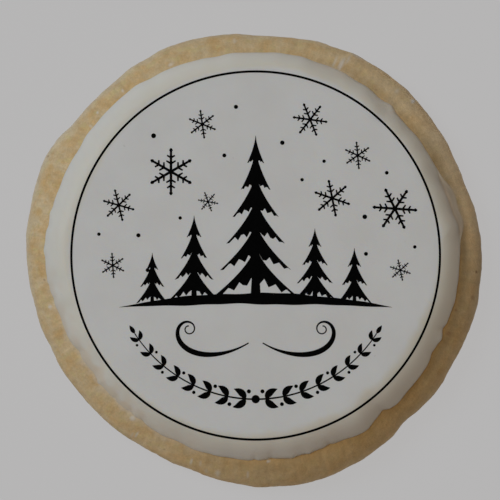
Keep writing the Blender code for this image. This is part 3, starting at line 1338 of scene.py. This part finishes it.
def finish_surface(material, surface, colour, roughness, shine, texture, depth):
    """Gives a surface its colour, its roughness and shine, and a fine bump of a depth in millimetres."""
    bump = {"Height": texture, "Distance": depth * MM, "Strength": 1.0}
    sockets = {
        "Base Color": colour,
        "Roughness": roughness,
        "Specular IOR Level": shine,
        "Normal": add_node(material, "Bump", bump).outputs["Normal"],
    }
    fill_sockets(material, surface, sockets)


# The streaks of the crust are read round the edge at one radius, and down the slope by a length in
# metres for each millimetre of it.
STREAK_RADIUS = 38 * MM
STREAK_SLOWNESS = 0.36 * MM


def streak_place(material, place):
    """Coordinates that run slowly down the slope and fast round the edge, in metres.

    The place on the piece is made level and brought out to one radius, and the way along the skin
    from the underside's middle, shortened, takes the place of the height.
    """
    flat = add_node(material, "VectorMath", {0: place, 1: (1, 1, 0)}, operation="MULTIPLY").outputs["Vector"]
    outward = add_node(material, "VectorMath", {0: flat}, operation="NORMALIZE").outputs["Vector"]
    rim = add_node(material, "VectorMath", {0: outward, "Scale": STREAK_RADIUS}, operation="SCALE")
    way = {0: stored(material, "slope_way"), 1: STREAK_SLOWNESS}
    slope = add_node(material, "Math", way, operation="MULTIPLY").outputs["Value"]
    along = add_node(material, "CombineXYZ", {"Z": slope}).outputs["Vector"]
    both = {0: rim.outputs["Vector"], 1: along}
    return add_node(material, "VectorMath", both, operation="ADD").outputs["Vector"]


# Colours of the dough: toasted, yellowed and pale flecks, evenly baked crust, floury crust that also
# paints light on the outer edge, golden patches, the tint of the browned side that also paints its shade
# and the shadow along the icing, paler patches underneath, freckles and smears of icing.
TOASTED = (0.64, 0.37, 0.13)
YELLOWED = (0.75, 0.60, 0.28)
CRUMB = (0.80, 0.65, 0.43)
EVEN_CRUST = (0.76, 0.54, 0.28)
FLOURY_AND_LIT = (0.86, 0.74, 0.56)
GOLDEN_PATCH = (0.71, 0.46, 0.19)
BROWNED_SHADED_TINT = (0.68, 0.585, 0.44)
BASE_PALE = (0.66, 0.43, 0.19)
FRECKLE = (0.25, 0.10, 0.045)
ICING_SMEAR = (0.83, 0.79, 0.74)

# Layers of flecks: size in millimetres, detail, roughness and offset of the noise, the values of it at
# which they start and are strongest, their strength and their colour.
FLECK_LAYERS = (
    (1.6, 3, 0.6, (0.3, 0.1, 0.7), 0.54, 0.72, 0.50, TOASTED),
    (1.5, 2, 0.5, (0.6, 0.9, 0.1), 0.52, 0.68, 0.60, YELLOWED),
    (1.3, 3, 0.6, (0.9, 0.4, 0.2), 0.54, 0.74, 0.35, CRUMB),
)

# How strong the floury stretches are, which also paint light on the outer edge, where the underside's
# colour starts, from 0 at the widest level to 1 underneath, the shares between which streaks and grain
# change the brightness, and the shine of the crust and the depth of its bump in millimetres.
FLOURY_AND_LIT_SHARE = 0.5
UNDERSIDE_FADE = 0.25
DARKER = 0.91
LIGHTER = 1.08
DOUGH_SHINE = 0.3
DOUGH_BUMP = 0.08


def dough_material(dough):
    """Baked dough: pale crumb with golden patches, streaks down the slope, pale marks and freckles."""
    material, surface, place = new_finish("baked_dough")
    patches = stretched(material, noise(material, place, 3.6, detail=5, roughness=0.6), *PATCH_RANGE)
    colour = blend_colour(material, patches, dough.pale, dough.golden)
    for size, detail, roughness, offset, start, strongest, strength, fleck in FLECK_LAYERS:
        flecks = noise(material, place, size, detail, roughness, offset)
        amount = stretched(material, flecks, start, strongest, 0, strength)
        colour = blend_colour(material, amount, colour, fleck)
    colour = blend_colour(material, stored(material, "evened"), colour, EVEN_CRUST)
    # Floury crust and painted light on the outer edge towards the key light.
    floury_and_lit = stretched(material, stored(material, "floury_and_lit"), 0, 1, 0, FLOURY_AND_LIT_SHARE)
    colour = blend_colour(material, floury_and_lit, colour, FLOURY_AND_LIT)
    colour = blend_colour(material, stored(material, "golden_patch"), colour, GOLDEN_PATCH)
    streaks = noise(material, streak_place(material, place), 0.9, detail=3, roughness=0.6)
    grain = noise(material, place, 0.36, detail=3, roughness=0.7)
    for pattern in (streaks, grain):
        shade = stretched(material, pattern, *SOFT_RANGE, DARKER, LIGHTER)
        colour = shaded(material, colour, shade)
    # Painted light and shade on the crust: lighter on the outer rim, darker in the shade beside the icing.
    colour = shaded(material, colour, stored(material, "crust_light_and_shade"))
    # Browning and painted shade on the side away from the key light, and painted shadow along the icing.
    colour = blend_colour(material, stored(material, "browned"), colour, BROWNED_SHADED_TINT, mode="MULTIPLY")
    mottled = noise(material, place, 3.0, detail=5, roughness=0.6, offset=(0.2, 0.8, 0.5))
    base = blend_colour(material, stretched(material, mottled, *FIRM_RANGE), dough.browned, BASE_PALE)
    lower = stretched(material, stored(material, "underside"), UNDERSIDE_FADE, 1)
    colour = blend_colour(material, lower, colour, base)
    colour = blend_colour(material, stored(material, "freckle"), colour, FRECKLE)
    colour = blend_colour(material, stored(material, "pale_mark"), colour, ICING_SMEAR)
    fine = noise(material, place, 0.45, detail=5, roughness=0.7)
    finish_surface(material, surface, colour, dough.roughness, DOUGH_SHINE, fine, DOUGH_BUMP)
    return material


# Colours of the icing: its faintly darker clouds, the cream down the roll, the taupe and painted shade at
# its foot, and dusty specks.
ICING_SHADE = (0.81, 0.794, 0.775)
ICING_CREAM = (0.82, 0.768, 0.665)
TAUPE_AND_SHADE_FOOT = (0.76, 0.685, 0.60)
ICING_SPECK = (0.60, 0.58, 0.55)

# The strength of the specks, the shine and bump of the surface, and how light spreads inside: how much
# of it, how far in red, green and blue as shares, and the distance in metres for a share of 1.
SPECK_SHARE = 0.3
ICING_SHINE = 0.35
ICING_BUMP = 0.02
ICING_GLOW = 0.25
GLOW_REACH = (1.0, 0.75, 0.5)
GLOW_DISTANCE = 1.2 * MM


def icing_material(icing):
    """Dried white icing: faintly uneven, warmer down the roll with painted shade at its foot, dough-coloured
    where it is thin, with painted light and shade near its edge.
    """
    material, surface, place = new_finish("white_icing")
    cloudy = stretched(material, noise(material, place, 9), *FIRM_RANGE)
    colour = blend_colour(material, cloudy, icing.white, ICING_SHADE)
    colour = blend_colour(material, stored(material, "cream"), colour, ICING_CREAM)
    # Taupe and painted shade at the foot, strongest on the dim side.
    colour = blend_colour(material, stored(material, "taupe_and_shade"), colour, TAUPE_AND_SHADE_FOOT)
    dusty = noise(material, place, 0.9, detail=1, offset=(0.4, 0.2, 0.6))
    specks = stretched(material, dusty, *SPECK_RANGE, 0, SPECK_SHARE)
    colour = blend_colour(material, specks, colour, ICING_SPECK)
    colour = blend_colour(material, stored(material, "thin_edge"), colour, icing.thin)
    # Painted light and shade near the icing's foot: shadow on the ledges, light on the lit side.
    colour = shaded(material, colour, stored(material, "icing_light_and_shade"))
    fine = noise(material, place, 1.6, detail=3)
    finish_surface(material, surface, colour, icing.roughness, ICING_SHINE, fine, ICING_BUMP)
    inside = {
        "Subsurface Weight": ICING_GLOW,
        "Subsurface Radius": GLOW_REACH,
        "Subsurface Scale": GLOW_DISTANCE,
    }
    fill_sockets(material, surface, inside)
    return material


# The ink: its colour where it is soaked in, its roughness, shine and bump.
INK_SOAKED = (0.003, 0.003, 0.003)
INK_ROUGHNESS = 0.8
INK_SHINE = 0.02
INK_BUMP = 0.01


def ink_material(settings):
    """Black print: matt, with the faint tooth of the icing under it."""
    material, surface, place = new_finish("edible_print")
    soaked = stretched(material, noise(material, place, 0.4), *SOFT_RANGE)
    colour = blend_colour(material, soaked, settings.ink, INK_SOAKED)
    fine = noise(material, place, 0.8)
    finish_surface(material, surface, colour, INK_ROUGHNESS, INK_SHINE, fine, INK_BUMP)
    return material


class COOKIE_OT_dough(bpy.types.Operator):
    """Lays the fine baked skin over the dough's solid"""

    bl_idname = "cookie.dough"
    bl_label = "Bake Dough"

    def execute(self, context):
        bake_dough(context.scene.cookie_dough)
        return {"FINISHED"}


class COOKIE_OT_icing(bpy.types.Operator):
    """Pours the white icing on the dough"""

    bl_idname = "cookie.icing"
    bl_label = "Pour Icing"

    def execute(self, context):
        pour_icing(context.scene.cookie_icing, context.scene.cookie_dough)
        return {"FINISHED"}


class COOKIE_OT_ring_line(bpy.types.Operator):
    """Prints the thin ring line round the design"""

    bl_idname = "cookie.ring_line"
    bl_label = "Print Ring Line"

    def execute(self, context):
        settings = context.scene.cookie_print
        angle = round_angles(OUTLINE_SAMPLES)
        path = settings.ring_radius / MM * np.stack((np.cos(angle), np.sin(angle)), axis=-1)
        half_width = np.full(len(path), settings.line / MM / 2)
        print_strokes("ring_line", [stroke(path, half_width, looped=True)], looped=True)
        return {"FINISHED"}


class COOKIE_OT_snowfall(bpy.types.Operator):
    """Prints the snowflakes and the dots of snow between them"""

    bl_idname = "cookie.snowfall"
    bl_label = "Print Snowfall"

    def execute(self, context):
        strokes = []
        for across, up, size, turn in SNOWFLAKES:
            strokes += placed(snowflake(), (across, up), turn, size)
        for across, up, radius in SNOW_DOTS:
            strokes += placed([dot(radius)], (across, up))
        print_strokes("printed_snowfall", strokes)
        return {"FINISHED"}


class COOKIE_OT_firs(bpy.types.Operator):
    """Prints the firs and the mound that they stand on"""

    bl_idname = "cookie.firs"
    bl_label = "Print Firs"

    def execute(self, context):
        strokes = [snow_mound()]
        for seed, (across, foot, height, half_width, tiers) in enumerate(FIR_TREES):
            strokes += placed(fir_tree(foot, height, half_width, tiers, seed), (across, 0))
        print_strokes("printed_firs", strokes)
        return {"FINISHED"}


class COOKIE_OT_scrolls(bpy.types.Operator):
    """Prints the pair of pen scrolls under the mound"""

    bl_idname = "cookie.scrolls"
    bl_label = "Print Scrolls"

    def execute(self, context):
        strokes = [scroll()]
        strokes += mirrored(strokes)
        print_strokes("printed_scrolls", strokes)
        return {"FINISHED"}


class COOKIE_OT_garland(bpy.types.Operator):
    """Prints the leafy garland along the lower edge of the design"""

    bl_idname = "cookie.garland"
    bl_label = "Print Garland"

    def execute(self, context):
        print_strokes("printed_garland", garland())
        return {"FINISHED"}


# Half the width of the floor, and its level, in metres.
FLOOR_HALF = 2.0
FLOOR_LEVEL = -0.05 * MM

# Where the key light hangs, seen from the cookie, and the distances and sizes of both lights in metres.
KEY_AZIMUTH = 150
KEY_ELEVATION = 50
KEY_DISTANCE = 0.9
KEY_SIZE = 0.5
OVERHEAD_DISTANCE = 1.2
OVERHEAD_SIZE = 1.6

# How far from the print's centre the camera aims, to the right and up.
VIEW_SHIFT = (-0.972 * MM, 0.868 * MM)


def make_floor(stage):
    """A wide level floor, a hair below the dough, that glows a little, so that its shadow stays faint."""
    signs = ((-1, -1), (1, -1), (1, 1), (-1, 1))
    corners = [(x * FLOOR_HALF, y * FLOOR_HALF, FLOOR_LEVEL) for x, y in signs]
    floor = mesh_object("floor", corners, [(0, 1, 2, 3)])
    material, surface, _ = new_finish("pale_floor")
    sockets = {
        "Base Color": (*stage.floor, 1),
        "Roughness": 1,
        "Specular IOR Level": 0,
        "Emission Color": (*stage.floor_glow, 1),
        "Emission Strength": 1,
    }
    fill_sockets(material, surface, sockets)
    floor.data.materials.append(material)


def aim(thing, spot, azimuth, elevation, distance):
    """Puts a light or camera at a distance from a spot, in a direction in degrees, facing the spot."""
    turn = math.radians(azimuth)
    lift = math.radians(elevation)
    level = math.cos(lift)
    away = np.array((math.cos(turn) * level, math.sin(turn) * level, math.sin(lift)))
    thing.location = np.array(spot) + away * distance
    thing.rotation_euler = (math.pi / 2 - lift, 0, turn + math.pi / 2)


def soft_light(name, colour, power, size, azimuth, elevation, distance):
    """A round soft light that faces the cookie."""
    light = bpy.data.lights.new(name, "AREA")
    light.shape = "DISK"
    light.size = size
    light.energy = power
    light.color = colour
    aim(add_object(name, light), (0, 0, DOUGH_LEVEL), azimuth, elevation, distance)


def make_lights(stage):
    """A soft cool key light from the upper left, a wide warm one from above and a little grey light."""
    soft_light("key_light", stage.key, stage.key_power, KEY_SIZE, KEY_AZIMUTH, KEY_ELEVATION, KEY_DISTANCE)
    soft_light(
        "overhead_light", stage.overhead, stage.overhead_power, OVERHEAD_SIZE, 0, 90, OVERHEAD_DISTANCE
    )
    world = bpy.data.worlds.new("room")
    world.use_nodes = True
    background = world.node_tree.nodes["Background"]
    background.inputs["Color"].default_value = (1, 1, 1, 1)
    background.inputs["Strength"].default_value = stage.room_strength
    bpy.context.scene.world = world


def make_camera(stage, printing, icing):
    """A long lens over the print, leaning a little towards the front."""
    lens = bpy.data.cameras.new("camera")
    lens.lens = lens.sensor_width * stage.distance / stage.field
    camera = add_object("camera", lens)
    spot = (printing.centre[0] + VIEW_SHIFT[0], printing.centre[1] + VIEW_SHIFT[1], icing.level)
    aim(camera, spot, -90, 90 - math.degrees(stage.tilt), stage.distance)
    bpy.context.scene.camera = camera


class COOKIE_OT_stage(bpy.types.Operator):
    """Sets up the floor, the lights and the camera"""

    bl_idname = "cookie.stage"
    bl_label = "Set Stage"

    def execute(self, context):
        scene = context.scene
        make_floor(scene.cookie_stage)
        make_lights(scene.cookie_stage)
        make_camera(scene.cookie_stage, scene.cookie_print, scene.cookie_icing)
        scene.view_settings.view_transform = "Standard"
        return {"FINISHED"}


class COOKIE_PT_sidebar(bpy.types.Panel):
    """Lists the cookie's operators and settings"""

    bl_label = "Iced Sugar Cookie"
    bl_idname = "COOKIE_PT_sidebar"
    bl_space_type = "VIEW_3D"
    bl_region_type = "UI"
    bl_category = "Cookie"

    def draw(self, context):
        for operator in OPERATORS:
            self.layout.operator(operator.bl_idname)
        for name, group in SETTINGS.items():
            box = self.layout.box()
            for field in group.__annotations__:
                box.prop(getattr(context.scene, name), field)


OPERATORS = (
    COOKIE_OT_dough,
    COOKIE_OT_icing,
    COOKIE_OT_ring_line,
    COOKIE_OT_snowfall,
    COOKIE_OT_firs,
    COOKIE_OT_scrolls,
    COOKIE_OT_garland,
    COOKIE_OT_stage,
)
SETTINGS = {
    "cookie_dough": DoughSettings,
    "cookie_icing": IcingSettings,
    "cookie_print": PrintSettings,
    "cookie_stage": StageSettings,
}
CLASSES = (*SETTINGS.values(), *OPERATORS, COOKIE_PT_sidebar)


def register():
    """Registers every class and hangs the settings on the scene."""
    for kind in CLASSES:
        bpy.utils.register_class(kind)
    for name, group in SETTINGS.items():
        setattr(bpy.types.Scene, name, bpy.props.PointerProperty(type=group))


def unregister():
    """Takes the settings off the scene and unregisters every class."""
    for name in SETTINGS:
        delattr(bpy.types.Scene, name)
    for kind in reversed(CLASSES):
        bpy.utils.unregister_class(kind)


def main():
    """Registers the add-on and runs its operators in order."""
    register()
    bpy.ops.cookie.dough()
    bpy.ops.cookie.icing()
    bpy.ops.cookie.ring_line()
    bpy.ops.cookie.snowfall()
    bpy.ops.cookie.firs()
    bpy.ops.cookie.scrolls()
    bpy.ops.cookie.garland()
    bpy.ops.cookie.stage()


if __name__ == "__main__":
    main()
